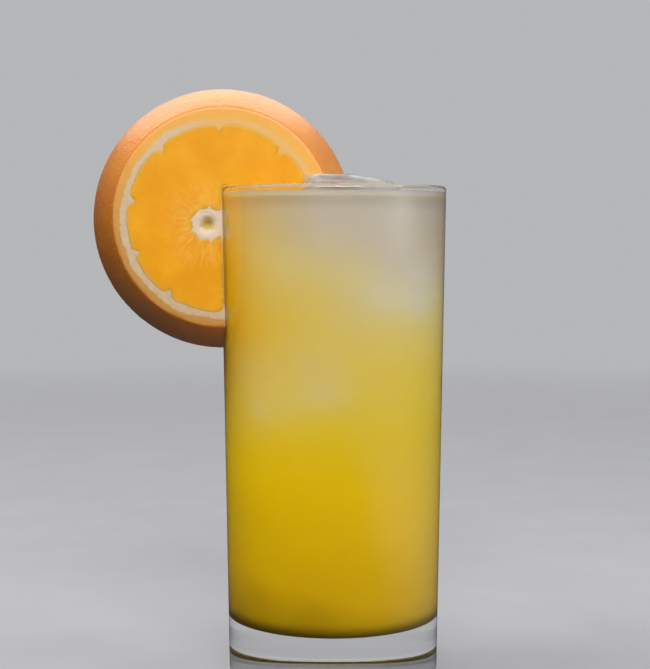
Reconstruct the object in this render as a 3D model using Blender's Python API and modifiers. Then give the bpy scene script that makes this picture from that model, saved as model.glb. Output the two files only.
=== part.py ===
"""A tall glass of iced orange cocktail with a wheel of orange pushed over its rim.

The glass stands on the origin with its axis on +Z. The orange wheel sits on the rim at -X, with its
smaller cut face towards -Y. Everything is in metres.
"""

import math

import bmesh
import bpy
from mathutils import Euler, Matrix, Vector

MM = 0.001

# Glass
GLASS_HEIGHT = 144 * MM
RIM_RADIUS = 33.0 * MM
FOOT_RADIUS = 30.75 * MM
RIM_WALL = 2.2 * MM
FLOOR_WALL = 2.8 * MM
FLOOR_THICKNESS = 16.8 * MM
FLOOR_CORNER = 4.5 * MM
HEEL_RADIUS = 2.5 * MM

# Drink
LEVEL_BELOW_RIM = 2.2 * MM
GAP = 0.3 * MM

# Orange wheel, a thick slice taken to one side of the orange's middle, so that its front face is smaller
WHEEL_THICKNESS = 11.0 * MM
FRONT_RADIUS = 31.9 * MM
BACK_RADIUS = 38.3 * MM
RIND_EDGE = 0.5 * MM
PEEL_THICKNESS = 4.8 * MM
WHEEL_TURN = math.radians(2.8)
WHEEL_LEAN = math.radians(2.4)
WHEEL_CENTRE_RADIUS = 32.25 * MM
WHEEL_CENTRE_HEIGHT = 134.9 * MM

# The white core is off the middle of the wheel, and the segments fan out from it
CORE_X = -4.3 * MM
CORE_Y = -2.1 * MM
CORE_RADIUS = 4.6 * MM
CORE_DENT_RADIUS = 1.9 * MM
CORE_DENT_DEPTH = 1.4 * MM
MEMBRANES_DEG = (-78, -36, 8, 45, 83, 122, 163, 202, 240)
MEMBRANE_WIDTH = 0.9 * MM
SEGMENT_RISE = 0.5 * MM
SEGMENT_DRAW_IN = 0.6 * MM
SEGMENT_SINK = 0.6 * MM
SEGMENT_SQUARENESS = 3.8
SEGMENT_POINTS = 20

# The one block of ice that breaks the surface, melted down to a slope at its right
ICE_SIZE = Vector((26.5, 17.0, 24.0)) * MM
ICE_PLACE = Vector((4.9, -15.4, 135.1)) * MM
ICE_TURN = Euler([math.radians(angle) for angle in (1.5, 0.0, 8.0)])
ICE_TAPER = 0.90
ICE_EDGE = 2.6 * MM
ICE_MELT_START = -0.6 * MM
ICE_MELT_SLOPE = math.radians(10.3)

TURN_STEPS = 64
CORNER_STEPS = 5
ARC_STEPS = 8
MERGE = 1e-6
CUT_MARGIN = 10 * MM

COLOURS = {
    "glass": ((0.90, 0.94, 0.95), 0.03),
    "drink": ((0.93, 0.62, 0.05), 0.20),
    "orange": ((0.95, 0.48, 0.05), 0.45),
    "ice": ((0.86, 0.90, 0.94), 0.10),
}


def clear_scene():
    for old in list(bpy.data.objects):
        bpy.data.objects.remove(old)


def new_collection(name):
    made = bpy.data.collections.new(name)
    bpy.context.scene.collection.children.link(made)
    return made


def principled(kind):
    colour, roughness = COLOURS[kind]
    material = bpy.data.materials.new(kind)
    material.use_nodes = True
    shader = material.node_tree.nodes["Principled BSDF"]
    shader.inputs["Base Color"].default_value = (*colour, 1)
    shader.inputs["Roughness"].default_value = roughness
    shader.inputs["Metallic"].default_value = 0.0
    if kind in ("glass", "ice"):
        shader.inputs["Transmission Weight"].default_value = 1.0
    return material


def add_mesh(name, mesh, collection, material=None):
    obj = bpy.data.objects.new(name, mesh)
    collection.objects.link(obj)
    if material is not None:
        mesh.materials.append(material)
    return obj


def arc(centre, radius, start_deg, end_deg, steps):
    """Points (radius from the axis, height) along a round corner of a turned profile."""
    points = []
    for i in range(steps + 1):
        angle = math.radians(start_deg + (end_deg - start_deg) * i / steps)
        points.append((centre[0] + radius * math.cos(angle), centre[1] + radius * math.sin(angle)))
    return points


def turned(name, profile, collection, material=None):
    """A closed shape turned about Z from a profile that starts and ends on the axis."""
    mesh = bpy.data.meshes.new(name)
    points = [(x, 0.0, z) for x, z in profile]
    mesh.from_pydata(points, [(i, i + 1) for i in range(len(points) - 1)], [])
    obj = add_mesh(name, mesh, collection, material)
    screw = obj.modifiers.new("turn", "SCREW")
    screw.axis = "Z"
    screw.angle = math.tau
    screw.steps = TURN_STEPS
    screw.render_steps = TURN_STEPS
    screw.use_merge_vertices = True
    screw.merge_threshold = MERGE
    return obj


def outer_radius(height):
    return FOOT_RADIUS + (RIM_RADIUS - FOOT_RADIUS) * height / GLASS_HEIGHT


def inner_radius(height):
    """The wall thickens evenly from the rim down to the floor."""
    share = (GLASS_HEIGHT - height) / (GLASS_HEIGHT - FLOOR_THICKNESS)
    return outer_radius(height) - RIM_WALL - (FLOOR_WALL - RIM_WALL) * share


def glass_profile():
    lip = RIM_WALL / 2
    lip_height = GLASS_HEIGHT - lip
    corner_height = FLOOR_THICKNESS + FLOOR_CORNER
    corner_centre = (inner_radius(corner_height) - FLOOR_CORNER, corner_height)
    lip_centre = (RIM_RADIUS - lip, lip_height)
    heel_centre = (outer_radius(HEEL_RADIUS) - HEEL_RADIUS, HEEL_RADIUS)
    return [
        (0.0, FLOOR_THICKNESS),
        *arc(corner_centre, FLOOR_CORNER, -90, 0, CORNER_STEPS),
        *arc(lip_centre, lip, 180, 0, CORNER_STEPS + 1),
        *arc(heel_centre, HEEL_RADIUS, 0, -90, CORNER_STEPS),
        (0.0, 0.0),
    ]


def drink_profile():
    level = GLASS_HEIGHT - LEVEL_BELOW_RIM
    corner_height = FLOOR_THICKNESS + FLOOR_CORNER
    corner_centre = (inner_radius(corner_height) - FLOOR_CORNER, corner_height)
    return [
        (0.0, level),
        (inner_radius(level) - GAP, level),
        *arc(corner_centre, FLOOR_CORNER - GAP, 0, -90, CORNER_STEPS),
        (0.0, FLOOR_THICKNESS + GAP),
    ]


def wall_profile(clearance):
    """The glass wall thickened by a clearance on every side, closed at the axis well below the wheel."""
    bottom = GLASS_HEIGHT / 2
    lip = RIM_WALL / 2 + clearance
    lip_centre = (RIM_RADIUS - RIM_WALL / 2, GLASS_HEIGHT - RIM_WALL / 2)
    return [
        (0.0, bottom + CUT_MARGIN),
        (inner_radius(bottom) - clearance, bottom + CUT_MARGIN),
        *arc(lip_centre, lip, 180, 0, CORNER_STEPS + 1),
        (outer_radius(bottom) + clearance, bottom),
        (0.0, bottom),
    ]


def orange_radius_and_offset():
    """Radius of the whole orange, and the distance from its middle to the wheel's mid-plane."""
    offset = (BACK_RADIUS**2 - FRONT_RADIUS**2) / (2 * WHEEL_THICKNESS)
    return math.hypot(FRONT_RADIUS, offset + WHEEL_THICKNESS / 2), offset


def rind_radius(height):
    """Radius of the round rind at a height above the wheel's mid-plane."""
    radius, offset = orange_radius_and_offset()
    return math.sqrt(radius**2 - (offset + height) ** 2)


def flesh_radius(height):
    return rind_radius(height) - PEEL_THICKNESS


def wheel_profile(grow=0.0):
    """The wheel's own axis is Z and its smaller face is up."""
    half = WHEEL_THICKNESS / 2 + grow
    heights = [half - RIND_EDGE - (2 * half - 2 * RIND_EDGE) * i / ARC_STEPS for i in range(ARC_STEPS + 1)]
    return [
        (0.0, half),
        (rind_radius(half) - RIND_EDGE + grow, half),
        *[(rind_radius(h) + grow, h) for h in heights],
        (rind_radius(-half) - RIND_EDGE + grow, -half),
        (0.0, -half),
    ]


def rounded(value):
    return math.copysign(abs(value) ** (2 / SEGMENT_SQUARENESS), value)


def reach(angle, radius):
    """Distance from the core to a circle about the wheel's middle, in one direction."""
    along = CORE_X * math.cos(angle) + CORE_Y * math.sin(angle)
    return -along + math.sqrt(along**2 - (CORE_X**2 + CORE_Y**2) + radius**2)


def segment_outline(start, end, radius):
    """A rounded wedge between two membranes, from the core out to the pith."""
    middle = (start + end) / 2
    points = []
    for i in range(SEGMENT_POINTS):
        turn = math.tau * i / SEGMENT_POINTS
        across, along = rounded(math.cos(turn)), rounded(math.sin(turn))
        share = (along + 1) / 2
        inner = CORE_RADIUS
        outer = reach(middle + across * (end - start) / 2, radius)
        distance = inner + share * (outer - inner)
        half_angle = (end - start) / 2 - math.asin(MEMBRANE_WIDTH / 2 / distance)
        angle = middle + across * half_angle
        points.append((CORE_X + distance * math.cos(angle), CORE_Y + distance * math.sin(angle)))
    return points


def flat_piece(outline, thickness):
    """A flat outline given a thickness about z = 0, as a closed mesh."""
    curve = bpy.data.curves.new("outline", "CURVE")
    curve.dimensions = "2D"
    curve.fill_mode = "BOTH"
    curve.extrude = thickness / 2
    spline = curve.splines.new("POLY")
    spline.points.add(len(outline) - 1)
    for point, (x, y) in zip(spline.points, outline, strict=True):
        point.co = (x, y, 0, 1)
    spline.use_cyclic_u = True
    drawn = bpy.data.objects.new("outline", curve)
    bpy.context.scene.collection.objects.link(drawn)
    bpy.context.view_layer.update()
    graph = bpy.context.evaluated_depsgraph_get()
    shape = bmesh.new()
    shape.from_mesh(bpy.data.meshes.new_from_object(drawn.evaluated_get(graph)))
    bpy.data.objects.remove(drawn)
    bmesh.ops.remove_doubles(shape, verts=shape.verts, dist=MERGE)
    bmesh.ops.recalc_face_normals(shape, faces=shape.faces)
    return shape


def draw_in_top(shape, height, inset):
    """Raises the middle of the top, so that a segment swells out of the cut face."""
    caps = [face for face in shape.faces if face.normal.z > 0.9]
    bmesh.ops.dissolve_faces(shape, faces=caps)
    tops = [face for face in shape.faces if face.normal.z > 0.9]
    bmesh.ops.inset_region(shape, faces=tops, thickness=inset, depth=height, use_even_offset=True)
    bmesh.ops.triangulate(shape, faces=shape.faces)


def segments_mesh():
    """The raised segments of both cut faces of the wheel, in one mesh."""
    starts = [math.radians(angle) for angle in MEMBRANES_DEG]
    ends = starts[1:] + [starts[0] + math.tau]
    side_height = SEGMENT_SINK + SEGMENT_RISE / 2
    middle = WHEEL_THICKNESS / 2 - SEGMENT_SINK + side_height / 2
    joined = bmesh.new()
    for face in (1, -1):
        radius = flesh_radius(face * WHEEL_THICKNESS / 2)
        for start, end in zip(starts, ends, strict=True):
            pad = flat_piece(segment_outline(start, end, radius), side_height)
            draw_in_top(pad, SEGMENT_RISE / 2, SEGMENT_DRAW_IN)
            bmesh.ops.translate(pad, verts=pad.verts, vec=(0, 0, middle))
            if face < 0:
                bmesh.ops.scale(pad, verts=pad.verts, vec=(1, 1, -1))
                bmesh.ops.reverse_faces(pad, faces=pad.faces)
            step = bpy.data.meshes.new("segment")
            pad.to_mesh(step)
            pad.free()
            joined.from_mesh(step)
            bpy.data.meshes.remove(step)
    mesh = bpy.data.meshes.new("segments")
    joined.to_mesh(mesh)
    joined.free()
    return mesh


def boolean(obj, operation, cutter):
    modifier = obj.modifiers.new(operation.lower(), "BOOLEAN")
    modifier.operation = operation
    modifier.solver = "EXACT"
    modifier.object = cutter


def freeze(obj):
    """Turns the object's modifiers into its mesh."""
    bpy.context.view_layer.update()
    graph = bpy.context.evaluated_depsgraph_get()
    mesh = bpy.data.meshes.new_from_object(obj.evaluated_get(graph))
    obj.modifiers.clear()
    obj.data = mesh


def make_cutter(obj):
    obj.hide_render = True
    obj.display_type = "WIRE"
    return obj


def wheel_turn():
    return Euler((math.pi / 2 - WHEEL_LEAN, 0, WHEEL_TURN))


def wheel_place():
    return Vector(
        (
            -WHEEL_CENTRE_RADIUS * math.cos(WHEEL_TURN),
            -WHEEL_CENTRE_RADIUS * math.sin(WHEEL_TURN),
            WHEEL_CENTRE_HEIGHT,
        )
    )


def place_as_wheel(obj):
    obj.rotation_euler = wheel_turn()
    obj.location = wheel_place()
    return obj


def build_orange(parts, cutters, material):
    wheel = turned("orange_wheel", wheel_profile(), parts, material)
    segments = add_mesh("segments", segments_mesh(), cutters)
    boolean(wheel, "UNION", segments)
    freeze(wheel)
    bpy.data.objects.remove(segments)
    place_as_wheel(wheel)

    slit = make_cutter(turned("rim_slit", wall_profile(GAP), cutters))
    boolean(wheel, "DIFFERENCE", slit)

    bpy.ops.mesh.primitive_uv_sphere_add(segments=16, ring_count=8, radius=CORE_DENT_RADIUS)
    dent = bpy.context.object
    dent.name = "core_dent"
    dent_height = WHEEL_THICKNESS / 2 + CORE_DENT_RADIUS - CORE_DENT_DEPTH
    dent.data.transform(Matrix.Translation((CORE_X, CORE_Y, dent_height)))
    place_as_wheel(make_cutter(dent))
    for holder in list(dent.users_collection):
        holder.objects.unlink(dent)
    cutters.objects.link(dent)
    boolean(wheel, "DIFFERENCE", dent)
    return wheel


def ice_mesh(name, grow=0.0):
    """A rounded block of ice, narrower at its foot as it came from the tray, with a melted top."""
    shape = bmesh.new()
    bmesh.ops.create_cube(shape, size=1.0)
    for vert in shape.verts:
        taper = ICE_TAPER if vert.co.z < 0 else 1.0
        vert.co.x *= ICE_SIZE.x * taper + 2 * grow
        vert.co.y *= ICE_SIZE.y * taper + 2 * grow
        vert.co.z *= ICE_SIZE.z + 2 * grow
    slope = Vector((math.sin(ICE_MELT_SLOPE), 0, math.cos(ICE_MELT_SLOPE)))
    start = Vector((ICE_MELT_START, 0, ICE_SIZE.z / 2)) + slope * grow
    geometry = [*shape.verts, *shape.edges, *shape.faces]
    bmesh.ops.bisect_plane(shape, geom=geometry, plane_co=start, plane_no=slope, clear_outer=True)
    bmesh.ops.holes_fill(shape, edges=[edge for edge in shape.edges if edge.is_boundary])
    bmesh.ops.bevel(
        shape,
        geom=[*shape.edges, *shape.verts],
        offset=ICE_EDGE,
        offset_type="OFFSET",
        segments=3,
        profile=0.5,
        affect="EDGES",
    )
    mesh = bpy.data.meshes.new(name)
    shape.to_mesh(mesh)
    shape.free()
    return mesh


def build_ice(parts, cutters, material):
    """The block of ice, and the slightly larger shape that clears room for it in the drink."""
    block = add_mesh("ice_cube", ice_mesh("ice_cube"), parts, material)
    room = make_cutter(add_mesh("ice_room", ice_mesh("ice_room", GAP), cutters))
    for obj in (block, room):
        obj.location = ICE_PLACE
        obj.rotation_euler = ICE_TURN
    return block, room


def main():
    clear_scene()
    parts = new_collection("iced_cocktail")
    cutters = new_collection("cutters")
    materials = {kind: principled(kind) for kind in COLOURS}

    glass = turned("glass", glass_profile(), parts, materials["glass"])
    drink = turned("drink", drink_profile(), parts, materials["drink"])
    wheel = build_orange(parts, cutters, materials["orange"])
    ice, ice_room = build_ice(parts, cutters, materials["ice"])

    wheel_room = turned("wheel_room", wheel_profile(SEGMENT_RISE + GAP), cutters)
    place_as_wheel(make_cutter(wheel_room))
    for room in (wheel_room, ice_room):
        boolean(drink, "DIFFERENCE", room)

    for obj in (glass, drink, wheel, ice):
        for polygon in obj.data.polygons:
            polygon.use_smooth = True


main()
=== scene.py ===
import math
from contextlib import contextmanager

import bmesh
import bpy
from mathutils import Euler, Matrix, Vector, noise
from mathutils.bvhtree import BVHTree


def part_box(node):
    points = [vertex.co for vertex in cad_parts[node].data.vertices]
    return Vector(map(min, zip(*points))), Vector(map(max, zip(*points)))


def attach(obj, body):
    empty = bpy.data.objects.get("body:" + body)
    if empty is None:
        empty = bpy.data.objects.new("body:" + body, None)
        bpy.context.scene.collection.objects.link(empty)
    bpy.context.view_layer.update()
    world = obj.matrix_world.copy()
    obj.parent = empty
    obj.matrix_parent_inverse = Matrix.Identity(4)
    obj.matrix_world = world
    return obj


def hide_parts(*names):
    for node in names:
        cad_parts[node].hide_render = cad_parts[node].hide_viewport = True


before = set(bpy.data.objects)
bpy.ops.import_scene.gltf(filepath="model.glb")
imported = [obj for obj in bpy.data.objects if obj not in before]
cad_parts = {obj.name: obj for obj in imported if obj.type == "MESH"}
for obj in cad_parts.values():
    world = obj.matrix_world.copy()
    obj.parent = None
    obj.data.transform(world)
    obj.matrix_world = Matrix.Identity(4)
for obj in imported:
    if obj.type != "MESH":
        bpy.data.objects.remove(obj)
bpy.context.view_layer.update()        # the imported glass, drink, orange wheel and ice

MM = 0.001
TINY = 0.01 * MM

# Sizes that the frame gives
RIM_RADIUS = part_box("glass")[1].x
GLASS_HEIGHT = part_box("glass")[1].z
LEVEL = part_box("drink")[1].z

# The glass, with its solid's sizes
FOOT_RADIUS = 30.75 * MM
RIM_WALL = 2.2 * MM
FLOOR_WALL = 2.8 * MM
FLOOR_THICKNESS = 16.8 * MM
FLOOR_CORNER = 4.5 * MM
HEEL_RADIUS = 2.5 * MM

# The orange wheel, with its solid's sizes and place
WHEEL_THICKNESS = 11.0 * MM
FRONT_RADIUS = 31.9 * MM
BACK_RADIUS = 38.3 * MM
RIND_EDGE = 0.5 * MM
WHEEL_TURN = math.radians(2.8)
WHEEL_LEAN = math.radians(2.4)
WHEEL_CENTRE_RADIUS = 32.25 * MM
WHEEL_CENTRE_HEIGHT = 134.9 * MM
CORE = Vector((-4.3, -2.1)) * MM
MEMBRANES_DEG = (-78, -36, 8, 45, 83, 122, 163, 202, 240)

# How far the glass presses into the orange from outside and from inside
PRESS_OUTSIDE = 0.05 * MM
PRESS_INSIDE = 0.3 * MM

# Peel: small pits and a gentle unevenness
PEEL_DEPTH = 0.3 * MM
PIT_DEPTH = 0.13 * MM
PIT_SPACING = 1.5 * MM
PIT_WIDTH_SHARE = 0.3
SWELL_DEPTH = 0.12 * MM
SWELL_SIZE = 7 * MM

# Ways out from the middle of the orange: where the pith is thin, with the zest and pith painted darker
# opposite it as painted shade; and where the peel is painted darker as painted shade
THIN_PITH_AND_LIT_SIDE = (0.6, 0.8, 0)
PAINTED_SHADE_SIDE = (-1.0, -0.3, 0)

# Core: a hollow with fibres round it
CORE_RADIUS = 4.2 * MM
HOLLOW_DEPTH = 1.5 * MM
HOLLOW_REACH = 1.6 * MM
FIBRE_HEIGHT = 0.25 * MM
FIBRE_SIZE = 0.8 * MM
FIBRE_REACH = 5 * MM

# Flesh: segments between thin skins, filled with juice sacs
FLESH_RIM = 4.5 * MM
FLESH_MIDDLE = Vector((-0.5, -0.35)) * MM
MEMBRANE_WIDTH = 0.3 * MM
SEGMENT_RISE = 0.08 * MM
SEGMENT_SQUARENESS = 9.0
SCALLOP = 0.35 * MM
SCALLOPS_PER_RADIAN = 9
SACS_PER_RADIAN = 13
SAC_LENGTH = 5.5 * MM
SAC_THICKNESS = 9 * MM
SAC_DRIFT = 0.8
SAC_DRIFT_SIZE = 4 * MM
SKIN_SHARE = 0.16
SKIN_DEPTH = 0.02 * MM

# Ice: the cloud in the block above the surface, and the size, place and turn of each block wholly sunk
ICE_EDGE = 2.6 * MM
LUMP_SIZE = 5 * MM
CLOUD_PLACE = Vector((4.5, -15.5, 134)) * MM
CLOUD_SIZE = Vector((8.5, 4.5, 7)) * MM
SUNK_ICE = (
    ("ice_sunk_left", (24, 22, 25), (-6.0, -10.6, 89.0), (-17, -15, -24)),
    ("ice_sunk_right", (20, 18, 18), (10.5, -12.0, 115.5), (-4, 6, 30)),
)
SUNK_ICE_FROM_WALL = 0.5 * MM

# The drink runs a little way into the wall, and creeps up whatever it touches
INTO_WALL = 0.2 * MM
CREEP_HEIGHT = 0.5 * MM
CREEP_REACH = 0.9 * MM

# Where the drink is paler (the paler right side is painted light), and how deep ice and orange show through
# it
PAINTED_LIGHT_TO_RIGHT = 0.28
PAINTED_LIGHT_RIGHT_AT_FOOT = 0.08
STREAK_HEIGHT = 60 * MM
STREAK_LEAN = 0.25
ICE_DEPTH = 9 * MM
SLICE_REACH = 7.5 * MM
SLICE_STRENGTH = 5.0
SIGHT_COUNT = 24
SIGHT_SPREAD = 0.6

# Fineness of the meshes
GLASS_STEPS = 192
GLASS_ROW = 8 * MM
GLASS_DISC_RINGS = (0.4 * MM, 1.2 * MM, 4.0 * MM)
CORNER_MARGIN = 0.3 * MM
DRINK_STEPS = 240
DRINK_ROW = 0.9 * MM
FINEST_RING = 0.25 * MM
RING_GROWTH = 1.15
WIDEST_RING = 0.9 * MM
RIND_STEPS = 300
RIND_ROWS = 22
RIND_RING = 0.6 * MM
SEGMENT_POINTS = 144
FLESH_VOXEL = 0.4 * MM
ICE_VOXEL = 0.5 * MM
SUNK_ICE_VOXEL = 0.7 * MM

# The photo's camera, and the backdrop
CAMERA_PLACE = Vector((-2.4, -465.0, 131.0)) * MM
CAMERA_PITCH = math.radians(3.74)
CAMERA_LENS_MM = 85.1
BACKDROP_STRENGTH = 0.6


# Small tools for modelling

def deselect_all():
    for obj in bpy.context.selected_objects:
        obj.select_set(False)


def make_active(obj):
    deselect_all()
    obj.select_set(True)
    bpy.context.view_layer.objects.active = obj


@contextmanager
def editing(obj, kind="VERT"):
    """Edit mode on one object, with nothing selected at first."""
    make_active(obj)
    bpy.ops.object.mode_set(mode="EDIT")
    bpy.ops.mesh.select_mode(type=kind)
    bpy.ops.mesh.select_all(action="DESELECT")
    yield
    bpy.ops.object.mode_set(mode="OBJECT")


def pick(obj, kind, test):
    """Selects the edges or faces of the mesh in edit mode that pass the test, and no others."""
    bpy.ops.mesh.select_all(action="DESELECT")
    shape = bmesh.from_edit_mesh(obj.data)
    for item in getattr(shape, kind):
        if test(item):
            item.select_set(True)
    shape.select_flush_mode()
    bmesh.update_edit_mesh(obj.data)


def at_height(item, height):
    """True if all of an edge or face, or the vertex itself, lies at this height."""
    verts = getattr(item, "verts", [item])
    return all(abs(vert.co.z - height) < TINY for vert in verts)


def is_ring_edge(edge):
    """True if an edge runs round the axis, not out from it."""
    first, second = (Vector(vert.co.xy) for vert in edge.verts)
    return abs(first.length - second.length) < TINY


def pick_ring(obj, height):
    """Selects the edges that run round the axis at this height."""
    pick(obj, "edges", lambda edge: at_height(edge, height) and is_ring_edge(edge))


def pick_disc(obj, height):
    """Selects the many-cornered flat face that closes a round shape at this height."""
    pick(obj, "faces", lambda face: at_height(face, height) and len(face.verts) > 4)


def slice_level(heights):
    """Cuts level rings into everything in edit mode."""
    for height in heights:
        bpy.ops.mesh.select_all(action="SELECT")
        bpy.ops.mesh.bisect(plane_co=(0, 0, height), plane_no=(0, 0, 1))


def hollow_out(obj, top, floor, wall, narrowing):
    """Sinks the top of a round shape in edit mode down to a floor, and leaves a wall."""
    pick_disc(obj, top)
    bpy.ops.mesh.inset(thickness=wall)
    bpy.ops.mesh.extrude_region_move(TRANSFORM_OT_translate={"value": (0, 0, floor - top)})
    bpy.ops.transform.resize(value=(narrowing, narrowing, 1))


def apply_place(obj):
    make_active(obj)
    bpy.ops.object.transform_apply(location=True, rotation=True, scale=True)


def upright_cone(low, high, low_radius, high_radius, steps):
    bpy.ops.mesh.primitive_cone_add(
        vertices=steps,
        radius1=low_radius,
        radius2=high_radius,
        depth=high - low,
        location=(0, 0, (low + high) / 2),
    )
    made = bpy.context.object
    apply_place(made)
    return made


def add_modifier(obj, kind, **settings):
    """Adds a modifier and applies it."""
    make_active(obj)
    modifier = obj.modifiers.new(kind.lower(), kind)
    for name, value in settings.items():
        setattr(modifier, name, value)
    bpy.ops.object.modifier_apply(modifier=modifier.name)


def cut_away(obj, cutter):
    add_modifier(obj, "BOOLEAN", operation="DIFFERENCE", solver="EXACT", object=cutter)


def even_out(obj, voxel):
    """Gives a closed piece an even mesh."""
    add_modifier(obj, "REMESH", mode="VOXEL", voxel_size=voxel, use_smooth_shade=True)


def discard(obj):
    bpy.data.objects.remove(obj)


def push_points(obj, shift):
    """Moves every point by shift(place, normal), with all normals read before any point moves."""
    mesh = obj.data
    before = [(vert.co.copy(), vert.normal.copy()) for vert in mesh.vertices]
    for vert, (place, normal) in zip(mesh.vertices, before, strict=True):
        vert.co += shift(place, normal)


def melt_unevenly(obj, depth):
    push_points(obj, lambda place, normal: normal * depth * noise.noise(place / LUMP_SIZE))


def spread_number(value, low, high):
    """Share of the way from low to high, held between 0 and 1."""
    return min(max((value - low) / (high - low), 0.0), 1.0)


def copy_of_node(name):
    """A copy of a solid with its loose triangles joined."""
    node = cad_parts[name]
    made = bpy.data.objects.new(name + "_copy", node.data.copy())
    bpy.context.scene.collection.objects.link(made)
    with editing(made):
        bpy.ops.mesh.select_all(action="SELECT")
        bpy.ops.mesh.remove_doubles(threshold=TINY / 10)
        bpy.ops.mesh.normals_make_consistent(inside=False)
    return made


def search_tree(mesh):
    """For finding what lies near a point or along a line."""
    shape = bmesh.new()
    shape.from_mesh(mesh)
    tree = BVHTree.FromBMesh(shape)
    shape.free()
    return tree


def shade_round(obj, angle_deg):
    make_active(obj)
    bpy.ops.object.shade_smooth_by_angle(angle=math.radians(angle_deg))


def finish_piece(obj, name, node, materials):
    """Names a piece, gives it its materials, hangs it under the root body, and hides the part of the frame
    it stands for.
    """
    obj.name = name
    obj.data.name = name
    obj.data.materials.clear()
    for material in materials:
        obj.data.materials.append(material)
    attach(obj, "root")
    if node:
        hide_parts(node)
    deselect_all()


# Nodes for materials

def new_material(name):
    material = bpy.data.materials.new(name)
    material.use_nodes = True
    tree = material.node_tree
    tree.nodes.clear()
    output = tree.nodes.new("ShaderNodeOutputMaterial")
    return material, tree, output


def add_node(tree, kind, settings=None, **values):
    """A shader node with its plain settings, and with its inputs set or linked by name."""
    node = tree.nodes.new("ShaderNode" + kind)
    for name, value in (settings or {}).items():
        setattr(node, name, value)
    for name, value in values.items():
        key = int(name[3:]) if name.startswith("in_") else name.replace("_", " ")
        socket = node.inputs[key]
        if isinstance(value, bpy.types.NodeSocket):
            tree.links.new(value, socket)
        else:
            socket.default_value = value
    return node


def colour(code):
    """A linear colour from the hex code of a screen colour."""
    parts = [int(code[i:i + 2], 16) / 255 for i in (1, 3, 5)]
    linear = [part / 12.92 if part <= 0.04045 else ((part + 0.055) / 1.055) ** 2.4 for part in parts]
    return (*linear, 1.0)


def maths(tree, operation, *values):
    inputs = {f"in_{i}": value for i, value in enumerate(values)}
    return add_node(tree, "Math", {"operation": operation}, **inputs).outputs[0]


def vector_maths(tree, operation, *vectors):
    """A single value worked out from vectors."""
    inputs = {f"in_{i}": vector for i, vector in enumerate(vectors)}
    return add_node(tree, "VectorMath", {"operation": operation}, **inputs).outputs["Value"]


def ramp(tree, value, stops):
    """stops is [(position, colour code)]."""
    node = add_node(tree, "ValToRGB", in_0=value)
    elements = node.color_ramp.elements
    while len(elements) < len(stops):
        elements.new(0.5)
    for element, (position, code) in zip(elements, stops, strict=True):
        element.position = position
        element.color = colour(code)
    return node.outputs[0]


def spread(tree, value, low, high, to_low=0.0, to_high=1.0):
    """Maps a value from one range to another, held at the ends."""
    settings = {"clamp": True}
    inputs = {"in_0": value, "in_1": low, "in_2": high, "in_3": to_low, "in_4": to_high}
    return add_node(tree, "MapRange", settings, **inputs).outputs[0]


def blend(tree, first, second, share):
    """Blends a share of the second tint into the first."""
    node = tree.nodes.new("ShaderNodeMix")
    node.data_type = "RGBA"
    for index, value in ((0, share), (6, first), (7, second)):
        if isinstance(value, bpy.types.NodeSocket):
            tree.links.new(value, node.inputs[index])
        else:
            node.inputs[index].default_value = value
    return node.outputs[2]


def tinge(tree, tint, code, share):
    """Blends a share of one plain colour into a tint."""
    return blend(tree, tint, colour(code), share)


def object_coordinates(tree):
    return add_node(tree, "TexCoord").outputs["Object"]


def local_coordinates(tree, place, turn):
    """Coordinates about a place, turned with a piece."""
    node = add_node(tree, "Mapping", {"vector_type": "TEXTURE"}, Vector=object_coordinates(tree))
    node.inputs["Location"].default_value = place
    node.inputs["Rotation"].default_value = turn
    return node.outputs[0]


def from_axis(tree, vector):
    """Distance from the axis of a set of coordinates, and the place along it."""
    parts = add_node(tree, "SeparateXYZ", in_0=vector).outputs
    flat = add_node(tree, "CombineXYZ", in_0=parts[0], in_1=parts[1]).outputs[0]
    return vector_maths(tree, "LENGTH", flat), parts[2]


def noise_value(tree, vector, scale, detail, roughness=0.5):
    node = add_node(tree, "TexNoise", Vector=vector, Scale=scale, Detail=detail, Roughness=roughness)
    return node.outputs[0]


def attribute_value(tree, name):
    return add_node(tree, "Attribute", {"attribute_name": name}).outputs["Fac"]


def add_bump(tree, shader, height, distance):
    relief = add_node(tree, "Bump", Height=height, Distance=distance, Strength=1.0)
    tree.links.new(relief.outputs[0], shader.inputs["Normal"])


def let_lamps_through(tree, surface, output, tint):
    """Clear to lamps and to scattered light, so that what is inside is lit through it."""
    path = add_node(tree, "LightPath")
    clear = add_node(tree, "BsdfTransparent", Color=tint).outputs[0]
    for ray in ("Is Shadow Ray", "Is Diffuse Ray"):
        surface = add_node(tree, "MixShader", in_0=path.outputs[ray], in_1=surface, in_2=clear).outputs[0]
    tree.links.new(surface, output.inputs["Surface"])


# Glass

def clear_glass():
    material, tree, output = new_material("clear_glass")
    shader = add_node(tree, "BsdfPrincipled", Roughness=0.0, IOR=1.5)
    shader.inputs["Base Color"].default_value = (0.985, 0.995, 0.99, 1)
    shader.inputs["Specular Tint"].default_value = (0.6, 0.6, 0.6, 1)
    shader.inputs["Transmission Weight"].default_value = 1.0
    ripples = noise_value(tree, object_coordinates(tree), 60.0, 1.0)
    add_bump(tree, shader, ripples, 0.02 * MM)
    let_lamps_through(tree, shader.outputs[0], output, (0.97, 0.98, 0.975, 1))
    return material


def outer_radius(height):
    return FOOT_RADIUS + (RIM_RADIUS - FOOT_RADIUS) * height / GLASS_HEIGHT


def inner_radius(height):
    """The wall thickens evenly from the rim down to the floor."""
    share = (GLASS_HEIGHT - height) / (GLASS_HEIGHT - FLOOR_THICKNESS)
    return outer_radius(height) - RIM_WALL - (FLOOR_WALL - RIM_WALL) * share


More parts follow.
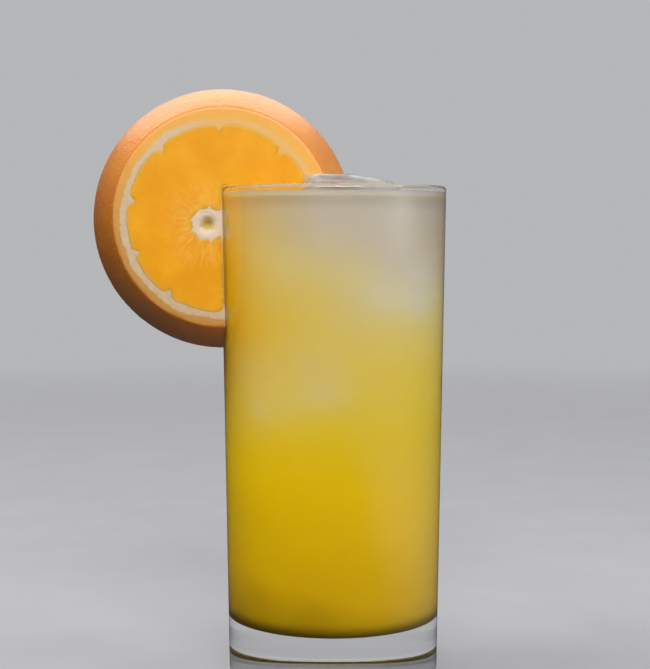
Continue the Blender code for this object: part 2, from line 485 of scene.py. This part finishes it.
def make_glass():
    glass = upright_cone(0, GLASS_HEIGHT, FOOT_RADIUS, RIM_RADIUS, GLASS_STEPS)
    with editing(glass, "FACE"):
        narrowing = inner_radius(FLOOR_THICKNESS) / (RIM_RADIUS - RIM_WALL)
        hollow_out(glass, GLASS_HEIGHT, FLOOR_THICKNESS, RIM_WALL, narrowing)
    with editing(glass, "EDGE"):
        pick_ring(glass, GLASS_HEIGHT)
        bpy.ops.mesh.bevel(offset=RIM_WALL * 0.49, segments=8)
        pick_ring(glass, FLOOR_THICKNESS)
        bpy.ops.mesh.bevel(offset=FLOOR_CORNER, segments=10)
        pick_ring(glass, 0)
        bpy.ops.mesh.bevel(offset=HEEL_RADIUS, segments=8)
    with editing(glass, "FACE"):
        for height in (0, FLOOR_THICKNESS):
            pick_disc(glass, height)
            for width in GLASS_DISC_RINGS:
                bpy.ops.mesh.inset(thickness=width)
        slice_level(glass_rows())
    shade_round(glass, 60)
    return glass


def glass_rows():
    """Heights of even rows, and of one close beside each rounded corner."""
    above_heel = HEEL_RADIUS + CORNER_MARGIN
    above_floor = FLOOR_THICKNESS + FLOOR_CORNER + CORNER_MARGIN
    below_lip = GLASS_HEIGHT - RIM_WALL / 2 - CORNER_MARGIN
    rows = round(GLASS_HEIGHT / GLASS_ROW)
    return [above_heel, above_floor, below_lip, *[row * GLASS_ROW for row in range(1, rows)]]


# Orange wheel, modelled lying flat with its small face up, and then set on the rim

def wheel_turn():
    return Euler((math.pi / 2 - WHEEL_LEAN, 0, WHEEL_TURN))


def wheel_matrix():
    across = -WHEEL_CENTRE_RADIUS * math.cos(WHEEL_TURN)
    along = -WHEEL_CENTRE_RADIUS * math.sin(WHEEL_TURN)
    place = Vector((across, along, WHEEL_CENTRE_HEIGHT))
    return Matrix.Translation(place) @ wheel_turn().to_matrix().to_4x4()


def wheel_coordinates(tree, across=0.0, along=0.0, above=0.0):
    """Coordinates about a place in the wheel, with its axis upwards."""
    return local_coordinates(tree, wheel_matrix() @ Vector((across, along, above)), wheel_turn())


def orange_radius_and_offset():
    """Radius of the whole orange, and the distance from its middle to the wheel's mid-plane."""
    offset = (BACK_RADIUS**2 - FRONT_RADIUS**2) / (2 * WHEEL_THICKNESS)
    return math.hypot(FRONT_RADIUS, offset + WHEEL_THICKNESS / 2), offset


def orange_rind():
    """Peel, zest, pith and membranes, told apart by their depth below the peel."""
    material, tree, output = new_material("orange_rind")
    radius, offset = orange_radius_and_offset()
    from_middle = wheel_coordinates(tree, above=-offset)
    grain = noise_value(tree, from_middle, 700.0, 4.0, 0.6)
    patches = noise_value(tree, from_middle, 90.0, 2.0)
    depth = maths(tree, "SUBTRACT", radius, vector_maths(tree, "LENGTH", from_middle))
    on_peel = spread(tree, depth, 0.25 * MM, 0.45 * MM, 1.0, 0.0)

    tint = zest_and_pith(tree, from_middle, depth, grain, patches)
    tint = white_core(tree, tint, grain)
    tint = ripe_peel(tree, tint, from_middle, on_peel, patches)
    peel_roughness = spread(tree, depth, 0.2 * MM, 0.6 * MM, 0.36, 0.5)
    shader = add_node(tree, "BsdfPrincipled", in_0=tint, Roughness=peel_roughness)
    shader.inputs["Subsurface Weight"].default_value = 0.4
    shader.inputs["Subsurface Radius"].default_value = (1.0, 0.5, 0.2)
    shader.inputs["Subsurface Scale"].default_value = 2 * MM
    tree.links.new(spread(tree, depth, 0.2 * MM, 0.6 * MM, 1.0, 0.1), shader.inputs["Coat Weight"])
    shader.inputs["Coat Roughness"].default_value = 0.4
    shader.inputs["Coat IOR"].default_value = 1.6

    pores = add_node(tree, "TexVoronoi", Vector=from_middle, Scale=900.0).outputs["Distance"]
    pits = maths(tree, "MULTIPLY", spread(tree, pores, 0.0, 0.45), on_peel)
    add_bump(tree, shader, maths(tree, "MULTIPLY_ADD", grain, 0.6, pits), 0.08 * MM)
    tree.links.new(shader.outputs[0], output.inputs["Surface"])
    return material


def zest_and_pith(tree, from_middle, depth, grain, patches):
    """Orange zest over white pith, which is thinner and less white on one side; toward the opposite side the
    colours are painted darker, as painted shade.
    """
    radius = orange_radius_and_offset()[0]
    uneven = maths(tree, "MULTIPLY_ADD", maths(tree, "SUBTRACT", grain, 0.5), 0.9 * MM, depth)
    uneven = maths(tree, "MULTIPLY_ADD", maths(tree, "SUBTRACT", patches, 0.5), 1.6 * MM, uneven)
    tint = ramp(tree, spread(tree, uneven, 0.0, 6.0 * MM), [
        (0.00, "#D08A1E"),
        (0.08, "#DC9A26"),
        (0.30, "#D89C26"),
        (0.55, "#D69E30"),
        (0.70, "#DA9A1C"),
    ])
    toward_thin_and_lit = vector_maths(tree, "DOT_PRODUCT", from_middle, THIN_PITH_AND_LIT_SIDE)
    # Painted shade: the zest and pith darken toward the lower left, away from the thin pith.
    painted_shade_share = spread(tree, toward_thin_and_lit, -0.6 * radius, 0.1 * radius, 0.6, 0.0)
    tint = tinge(tree, tint, "#8E6426", painted_shade_share)
    pith_top = spread(tree, toward_thin_and_lit, -radius, radius, 1.1 * MM, 2.9 * MM)
    below_zest = spread(tree, uneven, pith_top, maths(tree, "ADD", pith_top, 0.35 * MM))
    above_flesh = spread(tree, uneven, 4.3 * MM, 5.0 * MM, 1.0, 0.0)
    pith = maths(tree, "MULTIPLY", below_zest, above_flesh)
    pith = maths(tree, "MULTIPLY", pith, spread(tree, grain, 0.3, 0.6, 0.6, 0.95))
    whiter_side = spread(tree, toward_thin_and_lit, 0.25 * radius, 0.5 * radius, 1.0, 0.25)
    pith = maths(tree, "MULTIPLY", pith, whiter_side)
    return tinge(tree, tint, "#BFA98C", pith)


def white_core(tree, tint, grain):
    """A white core with a greener hollow in its middle."""
    reach = from_axis(tree, wheel_coordinates(tree, CORE.x, CORE.y))[0]
    reach = maths(tree, "MULTIPLY_ADD", grain, 1.6 * MM, reach)
    tint = tinge(tree, tint, "#CDBBA6", spread(tree, reach, 4.8 * MM, 8.5 * MM, 0.9, 0.0))
    return tinge(tree, tint, "#B39A32", spread(tree, reach, 1.8 * MM, 3.2 * MM, 0.9, 0.0))


def ripe_peel(tree, tint, from_middle, on_peel, patches):
    """Unevenly ripe, and painted darker toward the left, a little downward, as painted shade."""
    radius = orange_radius_and_offset()[0]
    # Painted shade: the peel's colour is blended toward dark brown on its left side.
    toward_painted_shade = vector_maths(tree, "DOT_PRODUCT", from_middle, PAINTED_SHADE_SIDE)
    ripe = tinge(tree, colour("#C47408"), "#8E4A02", spread(tree, toward_painted_shade, 0.5 * radius, radius))
    ripeness = maths(tree, "MULTIPLY", on_peel, spread(tree, patches, 0.3, 0.7, 1.0, 0.8))
    return blend(tree, tint, ripe, ripeness)


def orange_flesh():
    """Juice sacs that run out from the core, with paler skins between them, palest near the core, where the
    paleness is partly painted highlight.
    """
    material, tree, output = new_material("orange_flesh")
    from_core = wheel_coordinates(tree, CORE.x, CORE.y)
    patches = noise_value(tree, from_core, 130.0, 2.0)
    flesh = ramp(tree, patches, [(0.30, "#DA960A"), (0.50, "#DE9A10"), (0.72, "#E2A21C")])
    reach = vector_maths(tree, "LENGTH", from_core)
    # The skins are paler near the core; partly they are real skins, and partly painted highlight for glints
    # on the wet flesh.
    skin_and_highlight_strength = spread(tree, reach, 7 * MM, 15 * MM, 0.8, 0.05)
    skins = maths(tree, "MULTIPLY", attribute_value(tree, "sac_skin"), skin_and_highlight_strength)
    flesh = tinge(tree, flesh, "#EBB65C", skins)
    from_edge = maths(tree, "MULTIPLY_ADD", patches, 1.6 * MM, distance_from_edge(tree))
    flesh = tinge(tree, flesh, "#D8B070", spread(tree, from_edge, 0.9 * MM, 2.2 * MM, 0.4, 0.0))
    shader = add_node(tree, "BsdfPrincipled", in_0=flesh, Roughness=0.35)
    shader.inputs["Subsurface Weight"].default_value = 0.8
    shader.inputs["Subsurface Radius"].default_value = (1.0, 0.6, 0.15)
    shader.inputs["Subsurface Scale"].default_value = 4 * MM
    shader.inputs["Specular IOR Level"].default_value = 0.1
    add_bump(tree, shader, noise_value(tree, from_core, 900.0, 2.0), 0.02 * MM)
    tree.links.new(shader.outputs[0], output.inputs["Surface"])
    return material


def distance_from_edge(tree):
    """How far in from the pith a point of the flesh lies."""
    reach, above = from_axis(tree, wheel_coordinates(tree, FLESH_MIDDLE.x, FLESH_MIDDLE.y))
    taper = (FRONT_RADIUS - BACK_RADIUS) / WHEEL_THICKNESS
    middle_radius = (FRONT_RADIUS + BACK_RADIUS) / 2 - FLESH_RIM
    edge = maths(tree, "MULTIPLY_ADD", above, taper, middle_radius)
    return maths(tree, "SUBTRACT", edge, reach)


def rind_radius(height):
    radius, offset = orange_radius_and_offset()
    return math.sqrt(radius**2 - (offset + height) ** 2)


def set_on_rim(obj):
    obj.matrix_world = wheel_matrix()
    apply_place(obj)


def slit_cutter():
    """The glass wall, less what the orange is pressed against it, for cutting the wheel."""
    low = GLASS_HEIGHT / 2
    high = GLASS_HEIGHT - PRESS_OUTSIDE
    floor = low * 1.1
    high_radius = RIM_RADIUS - PRESS_OUTSIDE
    wall = RIM_WALL - PRESS_OUTSIDE - PRESS_INSIDE
    cutter = upright_cone(low, high, outer_radius(low) - PRESS_OUTSIDE, high_radius, GLASS_STEPS)
    with editing(cutter, "FACE"):
        hollow_out(cutter, high, floor, wall, (inner_radius(floor) + PRESS_INSIDE) / (high_radius - wall))
    with editing(cutter, "EDGE"):
        pick_ring(cutter, high)
        bpy.ops.mesh.bevel(offset=wall * 0.45, segments=4)
    return cutter


def make_rind():
    """The wheel's whole body: peel, pith, membranes and core. The flesh stands a little above it."""
    half = WHEEL_THICKNESS / 2
    rind = upright_cone(-half, half, rind_radius(-half), rind_radius(half), RIND_STEPS)
    round_off(rind)
    with editing(rind, "EDGE"):
        for side in (half, -half):
            pick_ring(rind, side)
            bpy.ops.mesh.bevel(offset=RIND_EDGE * 0.8, segments=3)
    with editing(rind, "FACE"):
        for side in (half, -half):
            ring_disc(rind, side)
    dent_core(rind)
    dimple_peel(rind)
    return rind


def round_off(rind):
    """Cuts the straight side into rows, and brings them to the roundness of the orange."""
    half = WHEEL_THICKNESS / 2
    row_height = (WHEEL_THICKNESS - 2 * RIND_EDGE) / RIND_ROWS
    with editing(rind, "EDGE"):
        slice_level([half - RIND_EDGE - row * row_height for row in range(RIND_ROWS + 1)])
    for vert in rind.data.vertices:
        if abs(vert.co.z) < half - TINY:
            vert.co.xy *= rind_radius(vert.co.z) / vert.co.xy.length


def ring_disc(rind, side):
    """Covers a flat face in edit mode with rings of small faces."""
    pick_disc(rind, side)
    verts = bmesh.from_edit_mesh(rind.data).verts
    room = max(vert.co.xy.length for vert in verts if at_height(vert, side)) - RIND_RING
    while room > 0:
        bpy.ops.mesh.inset(thickness=min(RIND_RING, room))
        room -= RIND_RING


def dent_core(rind):
    """A hollow in the core, and fibres drawn up and down round it."""
    face = WHEEL_THICKNESS / 2 - 5 * TINY
    for vert in rind.data.vertices:
        reach = (Vector(vert.co.xy) - CORE).length
        if abs(vert.co.z) < face or reach > 2 * CORE_RADIUS:
            continue
        side = math.copysign(1, vert.co.z)
        hollow = HOLLOW_DEPTH * math.exp(-((reach / HOLLOW_REACH) ** 2))
        fibre = FIBRE_HEIGHT * noise.noise(Vector(vert.co) / FIBRE_SIZE) * max(0.0, 1 - reach / FIBRE_REACH)
        vert.co.z -= side * (hollow + fibre)


def dimple_peel(rind):
    """Shallow pits over the round peel, and a gentle unevenness."""
    radius, offset = orange_radius_and_offset()
    middle = Vector((0, 0, -offset))
    for vert in rind.data.vertices:
        outward = Vector(vert.co) - middle
        if radius - outward.length > PEEL_DEPTH:
            continue
        outward.normalize()
        nearest = noise.voronoi(Vector(vert.co) / PIT_SPACING)[0][0]
        pit = PIT_DEPTH * math.exp(-((nearest / PIT_WIDTH_SHARE) ** 2))
        swell = SWELL_DEPTH * (1 + noise.noise(Vector(vert.co) / SWELL_SIZE)) / 2
        vert.co -= outward * (pit + swell)


def reach_to_circle(angle, radius):
    """Distance from the core to a circle about the flesh's middle, in one direction."""
    core = CORE - FLESH_MIDDLE
    along = core.x * math.cos(angle) + core.y * math.sin(angle)
    return -along + math.sqrt(along**2 - core.length_squared + radius**2)


def squared_off(value):
    """Bends a sine or cosine so that a circle becomes a square with rounded corners."""
    return math.copysign(abs(value) ** (2 / SEGMENT_SQUARENESS), value)


def segment_point(turn, start, end, radius):
    """One point on the outline of a rounded wedge between two membranes."""
    across, along = squared_off(math.cos(turn)), squared_off(math.sin(turn))
    middle = (start + end) / 2
    bearing = middle + across * (end - start) / 2
    wave = noise.noise(Vector((math.cos(bearing), math.sin(bearing), 0)) * SCALLOPS_PER_RADIAN)
    outer = reach_to_circle(bearing, radius) + SCALLOP * wave
    distance = CORE_RADIUS + (along + 1) / 2 * (outer - CORE_RADIUS)
    half_angle = (end - start) / 2 - math.asin(MEMBRANE_WIDTH / 2 / distance)
    angle = middle + across * half_angle
    return CORE + Vector((distance * math.cos(angle), distance * math.sin(angle)))


def make_segment(start, end):
    """One wedge of flesh, wider at the wheel's larger face."""
    height = WHEEL_THICKNESS + 2 * SEGMENT_RISE
    bpy.ops.mesh.primitive_cylinder_add(vertices=SEGMENT_POINTS, radius=1.0, depth=height)
    segment = bpy.context.object
    for vert in segment.data.vertices:
        turn = math.atan2(vert.co.y, vert.co.x)
        face = math.copysign(WHEEL_THICKNESS / 2, vert.co.z)
        vert.co.xy = segment_point(turn, start, end, rind_radius(face) - FLESH_RIM)
    return segment


def make_flesh(slit):
    starts = [math.radians(angle) for angle in MEMBRANES_DEG]
    ends = starts[1:] + [starts[0] + math.tau]
    segments = [make_segment(start, end) for start, end in zip(starts, ends, strict=True)]
    make_active(segments[0])
    for segment in segments:
        segment.select_set(True)
    bpy.ops.object.join()
    flesh = bpy.context.object
    set_on_rim(flesh)
    cut_away(flesh, slit)
    even_out(flesh, FLESH_VOXEL)
    add_modifier(flesh, "SMOOTH", factor=0.5, iterations=4)
    swell_sacs(flesh)
    return flesh


def swell_sacs(flesh):
    """Raises the juice sacs, which run out from the core, and marks the skins between them."""
    to_wheel = wheel_matrix().inverted()
    forward = wheel_matrix().to_3x3() @ Vector((0, 0, 1))
    skins = []

    def sink(place, normal):
        skin = skin_between_sacs(to_wheel @ place)
        skins.append(skin)
        facing = spread_number(abs(normal.dot(forward)), 0.4, 0.8)
        return normal * -SKIN_DEPTH * skin * facing

    push_points(flesh, sink)
    layer = flesh.data.attributes.new("sac_skin", "FLOAT", "POINT")
    layer.data.foreach_set("value", skins)


def skin_between_sacs(place):
    """One on the skin between two sacs, fading to nothing inside a sac."""
    from_core = Vector(place.xy) - CORE
    angle = math.atan2(from_core.y, from_core.x)
    drift = SAC_DRIFT * noise.noise(Vector((place.x, place.y, 7 * MM)) / SAC_DRIFT_SIZE)
    around = angle * SACS_PER_RADIAN + drift
    outwards = from_core.length / SAC_LENGTH + drift * 0.4
    nearest = noise.voronoi(Vector((around, outwards, place.z / SAC_THICKNESS)))[0]
    return math.exp(-(nearest[1] - nearest[0]) / SKIN_SHARE)


def make_wheel():
    slit = slit_cutter()
    rind = make_rind()
    set_on_rim(rind)
    cut_away(rind, slit)
    flesh = make_flesh(slit)
    discard(slit)
    shade_round(rind, 50)
    return rind, flesh


# Ice

def clear_ice():
    """Clear at the faces, with a milky haze in it."""
    material, tree, output = new_material("clear_ice")
    place = object_coordinates(tree)
    shader = add_node(tree, "BsdfPrincipled", IOR=1.31)
    shader.inputs["Base Color"].default_value = colour("#ABA8A5")
    haze = noise_value(tree, place, 140.0, 3.0)
    tree.links.new(spread(tree, haze, 0.35, 0.65, 0.8, 0.35), shader.inputs["Transmission Weight"])
    frost = noise_value(tree, place, 160.0, 3.0)
    tree.links.new(spread(tree, frost, 0.35, 0.75, 0.03, 0.22), shader.inputs["Roughness"])
    add_bump(tree, shader, noise_value(tree, place, 220.0, 2.0), 0.35 * MM)
    let_lamps_through(tree, shader.outputs[0], output, (0.9, 0.92, 0.93, 1))
    return material


def cloudy_ice():
    """The white, airy middle of a block."""
    material, tree, output = new_material("cloudy_ice")
    wisps = noise_value(tree, object_coordinates(tree), 320.0, 4.0, 0.65)
    shader = add_node(tree, "BsdfPrincipled", Roughness=0.6)
    shader.inputs["Base Color"].default_value = colour("#DDE2E6")
    tree.links.new(spread(tree, wisps, 0.42, 0.7, 0.08, 0.75), shader.inputs["Alpha"])
    tree.links.new(shader.outputs[0], output.inputs["Surface"])
    return material


def make_ice():
    """The block above the surface: its solid, made rounder and unevenly melted."""
    block = copy_of_node("ice_cube")
    even_out(block, ICE_VOXEL)
    add_modifier(block, "SMOOTH", factor=0.5, iterations=6)
    melt_unevenly(block, 0.25 * MM)
    return block


def make_cloud():
    """A lumpy white heart inside the block above the surface."""
    bpy.ops.mesh.primitive_ico_sphere_add(subdivisions=4, radius=1.0, location=CLOUD_PLACE)
    cloud = bpy.context.object
    cloud.scale = CLOUD_SIZE
    apply_place(cloud)
    for vert in cloud.data.vertices:
        vert.co += (vert.co - CLOUD_PLACE) * 0.35 * noise.noise(vert.co / (3 * MM))
    return cloud


def make_sunk_ice(size_mm, place_mm, turn_deg):
    bpy.ops.mesh.primitive_cube_add(size=1.0, location=Vector(place_mm) * MM)
    block = bpy.context.object
    block.scale = Vector(size_mm) * MM
    block.rotation_euler = [math.radians(angle) for angle in turn_deg]
    apply_place(block)
    add_modifier(block, "BEVEL", width=ICE_EDGE, segments=4)
    even_out(block, SUNK_ICE_VOXEL)
    melt_unevenly(block, 0.3 * MM)
    keep_inside(block)
    return block


def keep_inside(block):
    """Presses in whatever would come through the drink's side."""
    for vert in block.data.vertices:
        most = inner_radius(vert.co.z) - SUNK_ICE_FROM_WALL
        reach = vert.co.xy.length
        if reach > most:
            vert.co.xy *= most / reach


# Drink

def juice(name, specular, roughness, painted_surface_shade):
    """Cloudy juice, less cloudy in the thin edge that creeps up the glass."""
    material, tree, output = new_material(name)
    place = object_coordinates(tree)
    parts = add_node(tree, "SeparateXYZ", in_0=place).outputs
    drift = noise_value(tree, place, 45.0, 2.0)
    level = milkiness_and_painted_light(tree, parts, drift)
    tint = ramp(tree, level, [
        (0.00, "#9A7800"),
        (0.09, "#C8A000"),
        (0.30, "#DBB500"),
        (0.48, "#D6B906"),
        (0.62, "#D4BA47"),
        (0.77, "#CBBE7C"),
        (0.86, "#BAAB84"),
        (1.00, "#9E968C"),
    ])
    tint = pale_streak(tree, tint, parts, drift, level)
    tint = show_ice_and_orange(tree, tint, level)
    cloudiness = spread(tree, parts[2], LEVEL - 1.3 * MM, LEVEL - 0.1 * MM, 1.0, 0.0)
    # Painted shade: darker toward black in the last few millimetres below the surface, against the strong
    # light from above.
    painted_shade_near_top = spread(tree, parts[2], LEVEL - 5 * MM, LEVEL - 1 * MM, 0.0, 0.28)
    tint = tinge(tree, tint, "#000000", maths(tree, "MULTIPLY", painted_shade_near_top, cloudiness))
    # Painted shade: the surface's copy is blended toward a dark warm tint, against the strong light from
    # above.
    tint = tinge(tree, tint, "#6A5830", painted_surface_shade)
    shader = add_node(tree, "BsdfPrincipled", in_0=tint, Roughness=roughness)
    shader.inputs["Specular IOR Level"].default_value = specular
    tree.links.new(cloudiness, shader.inputs["Subsurface Weight"])
    shader.inputs["Subsurface Radius"].default_value = (1.0, 0.95, 0.6)
    shader.inputs["Subsurface Scale"].default_value = 9 * MM
    tree.links.new(shader.outputs[0], output.inputs["Surface"])
    return material


def milkiness_and_painted_light(tree, parts, drift):
    """How milky the juice is: more so with height; and painted paler to the right, less so at its foot, as
    painted light from that side.
    """
    foot_top = FLOOR_THICKNESS + 25 * MM
    # Painted light: the juice grows paler toward the right, the side the light comes from.
    painted_light_to_right = spread(tree, parts[2], FLOOR_THICKNESS, foot_top, PAINTED_LIGHT_RIGHT_AT_FOOT, PAINTED_LIGHT_TO_RIGHT)
    wavy = maths(tree, "MULTIPLY_ADD", drift, 12 * MM, parts[2])
    wavy = maths(tree, "MULTIPLY_ADD", parts[0], painted_light_to_right, wavy)
    return spread(tree, wavy, FLOOR_THICKNESS + 6 * MM, LEVEL + 14 * MM)


def pale_streak(tree, tint, parts, drift, level):
    """A leaning pale streak low at the right."""
    above = maths(tree, "SUBTRACT", parts[2], STREAK_HEIGHT)
    across = maths(tree, "MULTIPLY_ADD", above, STREAK_LEAN, parts[0])
    across = maths(tree, "MULTIPLY_ADD", drift, 6 * MM, across)
    streak = spread(tree, across, 8 * MM, 21 * MM, 0.0, 0.26)
    streak = maths(tree, "MULTIPLY", streak, spread(tree, level, 0.4, 0.6, 1.0, 0.0))
    return tinge(tree, tint, "#D2B86C", streak)


def show_ice_and_orange(tree, tint, level):
    """Paler over ice and more orange over the slice."""
    ice_strength = spread(tree, level, 0.47, 0.92, 0.32, 0.95)
    over_ice = maths(tree, "MULTIPLY", attribute_value(tree, "over_ice"), ice_strength)
    tint = tinge(tree, tint, "#BEC5D3", over_ice)
    slice_strength = spread(tree, level, 0.74, 0.86, 1.0, 0.8)
    over_slice = maths(tree, "MULTIPLY", attribute_value(tree, "over_slice"), slice_strength)
    return tinge(tree, tint, "#D6A00A", over_slice)


def make_drink():
    """The cocktail up to its level, with the orange wheel and the ice let into it."""
    low = FLOOR_THICKNESS - INTO_WALL
    low_radius, high_radius = (inner_radius(height) + INTO_WALL for height in (low, LEVEL))
    drink = upright_cone(low, LEVEL, low_radius, high_radius, DRINK_STEPS)
    with editing(drink, "EDGE"):
        pick_ring(drink, low)
        bpy.ops.mesh.bevel(offset=FLOOR_CORNER, segments=8)
        rows = int((LEVEL - low - FLOOR_CORNER) / DRINK_ROW)
        slice_level([LEVEL - DRINK_ROW * row for row in range(1, rows)])
    with editing(drink, "FACE"):
        ring_surface(drink, high_radius)
    for name in ("orange_wheel", "ice_cube"):
        cutter = copy_of_node(name)
        cut_away(drink, cutter)
        discard(cutter)
    creep_up(drink, high_radius)
    return drink


def ring_surface(drink, radius):
    """Covers the surface in edit mode with rings of faces, finest at the wall."""
    pick_disc(drink, LEVEL)
    room = radius - 1 * MM
    width = FINEST_RING
    while room > width:
        bpy.ops.mesh.inset(thickness=width)
        room -= width
        width = min(width * RING_GROWTH, WIDEST_RING)


def creep_up(drink, wall_radius):
    """Lifts the surface a little where it meets the wall, the orange and the ice."""
    touched = [search_tree(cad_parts[name].data) for name in ("orange_wheel", "ice_cube")]
    for vert in drink.data.vertices:
        if vert.co.z < LEVEL - TINY:
            continue
        gaps = [wall_radius - vert.co.xy.length]
        gaps += [tree.find_nearest(vert.co)[3] for tree in touched]
        vert.co.z += CREEP_HEIGHT * math.exp(-max(min(gaps), 0) / CREEP_REACH)


def look_inside(drink, ice_pieces):
    """Marks how much ice and orange lies close behind each point of the drink's side."""
    ice = [search_tree(piece.data) for piece in ice_pieces]
    wheel = search_tree(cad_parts["orange_wheel"].data)
    tilts = sight_tilts()
    drink.data.update()
    over_ice = []
    over_slice = []
    for vert in drink.data.vertices:
        inward = -vert.normal
        start = vert.co + inward * 0.05 * MM
        seen = [nearness(ice, start, (inward + tilt).normalized()) for tilt in tilts]
        over_ice.append(sum(seen) / len(seen))
        closeness = SLICE_STRENGTH * math.exp(-wheel.find_nearest(vert.co)[3] / SLICE_REACH)
        upright = 1 - spread_number(vert.normal.z, 0.3, 0.9)
        over_slice.append((1 - math.exp(-closeness)) * upright)
    for name, values in (("over_ice", over_ice), ("over_slice", over_slice)):
        layer = drink.data.attributes.new(name, "FLOAT", "POINT")
        layer.data.foreach_set("value", values)


def nearness(trees, start, direction):
    """One where something is right behind the surface, fading to nothing with its depth."""
    gaps = [tree.ray_cast(start, direction, 5 * ICE_DEPTH)[3] for tree in trees]
    return max((math.exp(-gap / ICE_DEPTH) for gap in gaps if gap is not None), default=0.0)


def sight_tilts():
    """Points spread evenly over a small ball, for looking into the drink a little to every side."""
    golden = math.pi * (3 - math.sqrt(5))
    tilts = []
    for i in range(SIGHT_COUNT):
        height = 1 - 2 * (i + 0.5) / SIGHT_COUNT
        reach = math.sqrt(1 - height**2)
        tilt = Vector((reach * math.cos(i * golden), reach * math.sin(i * golden), height))
        tilts.append(SIGHT_SPREAD * tilt)
    return tilts


def finish_drink(drink):
    """The side is matt under the glass, and the surface shines and is painted darker and warmer in colour,
    as painted shade against the strong light from above.
    """
    side = juice("juice_side", specular=0.05, roughness=0.4, painted_surface_shade=0.0)
    surface = juice("juice_surface_painted_shade", specular=0.5, roughness=0.08, painted_surface_shade=0.5)
    finish_piece(drink, "cocktail", "drink", [side, surface])
    shade_round(drink, 35)
    for polygon in drink.data.polygons:
        polygon.material_index = 1 if polygon.center.z > LEVEL - TINY else 0


# Stage

def make_camera():
    data = bpy.data.cameras.new("camera")
    data.sensor_width = 36
    data.lens = CAMERA_LENS_MM
    data.clip_start = 10 * MM
    camera = bpy.data.objects.new("camera", data)
    camera.location = CAMERA_PLACE
    camera.rotation_euler = (math.pi / 2 - CAMERA_PITCH, 0, 0)
    bpy.context.scene.collection.objects.link(camera)
    bpy.context.scene.camera = camera


def pale_floor():
    """Plain and pale, fading into the background with distance."""
    material, tree, output = new_material("pale_floor")
    place = object_coordinates(tree)
    grain = noise_value(tree, place, 30.0, 2.0)
    tint = ramp(tree, grain, [(0.3, "#8E8E92"), (0.7, "#929295")])
    shader = add_node(tree, "BsdfPrincipled", in_0=tint, Roughness=0.7)
    distance = vector_maths(tree, "LENGTH", place)
    tree.links.new(spread(tree, distance, 0.25, 1.1, 1.0, 0.0), shader.inputs["Alpha"])
    tree.links.new(shader.outputs[0], output.inputs["Surface"])
    return material


def make_floor():
    bpy.ops.mesh.primitive_circle_add(vertices=128, radius=4.0, fill_type="NGON")
    floor = bpy.context.object
    floor.name = "floor"
    floor.data.materials.append(pale_floor())
    floor.visible_diffuse = False
    floor.visible_glossy = False
    deselect_all()


def soft_light(name, place, size, watts, mirrored=True, scattered=True):
    """A rectangular soft box aimed at the upper part of the glass, for sheen, for even light or for both."""
    data = bpy.data.lights.new(name, "AREA")
    data.shape = "RECTANGLE"
    data.size, data.size_y = size
    data.energy = watts
    light = bpy.data.objects.new(name, data)
    light.location = place
    aim = Vector((0, 0, 0.1)) - Vector(place)
    light.rotation_euler = aim.to_track_quat("-Z", "Y").to_euler()
    light.visible_camera = False
    light.visible_glossy = mirrored
    light.visible_diffuse = scattered
    light.visible_transmission = False
    bpy.context.scene.collection.objects.link(light)


def make_lights():
    soft_light("back_box", (-0.12, 0.6, 1.0), (1.4, 1.0), 6.0)
    soft_light("back_sheen", (-0.12, 0.6, 1.0), (1.4, 1.0), 7.0, scattered=False)
    soft_light("front_box", (0.10, -1.0, 0.72), (0.9, 0.7), 15.0)
    soft_light("left_fill", (-0.8, -0.1, 1.0), (0.8, 0.8), 13.0, mirrored=False)
    soft_light("right_fill", (0.8, -0.1, 1.0), (0.8, 0.8), 7.5, mirrored=False)


def make_world():
    """A dim dome of light, brighter above and to the right, before a pale backdrop."""
    world = bpy.data.worlds.new("studio")
    bpy.context.scene.world = world
    world.use_nodes = True
    tree = world.node_tree
    way = add_node(tree, "SeparateXYZ", in_0=add_node(tree, "TexCoord").outputs["Generated"]).outputs
    above = spread(tree, way[2], -0.1, 1.0, 0.03, 0.45)
    right = spread(tree, way[0], 0.3, 0.9, 0.0, 0.2)
    below = spread(tree, way[2], -0.6, -0.1, 0.08, 0.0)
    light = maths(tree, "ADD", maths(tree, "ADD", above, right), below)
    path = add_node(tree, "LightPath").outputs
    through = maths(tree, "SUBTRACT", path["Is Transmission Ray"], path["Is Diffuse Ray"])
    in_view = maths(tree, "MAXIMUM", path["Is Camera Ray"], through)
    background = tree.nodes["Background"]
    background.inputs["Color"].default_value = colour("#E4E5E8")
    strength = add_node(tree, "Mix", in_0=in_view, in_2=light, in_3=BACKDROP_STRENGTH).outputs[0]
    tree.links.new(strength, background.inputs["Strength"])


def main():
    deselect_all()
    make_camera()
    make_floor()
    make_lights()
    make_world()
    bpy.context.scene.view_settings.view_transform = "Standard"

    finish_piece(make_glass(), "tumbler", "glass", [clear_glass()])
    rind, flesh = make_wheel()
    finish_piece(rind, "orange_rind", "orange_wheel", [orange_rind()])
    finish_piece(flesh, "orange_flesh", "orange_wheel", [orange_flesh()])

    block = make_ice()
    cloud = make_cloud()
    sunk = [(name, make_sunk_ice(*form)) for name, *form in SUNK_ICE]
    drink = make_drink()
    look_inside(drink, [block, *[piece for name, piece in sunk]])
    ice_material = clear_ice()
    finish_piece(block, "ice_block", "ice_cube", [ice_material])
    finish_piece(cloud, "ice_cloud", None, [cloudy_ice()])
    for name, piece in sunk:
        finish_piece(piece, name, None, [ice_material])
    finish_drink(drink)


main()
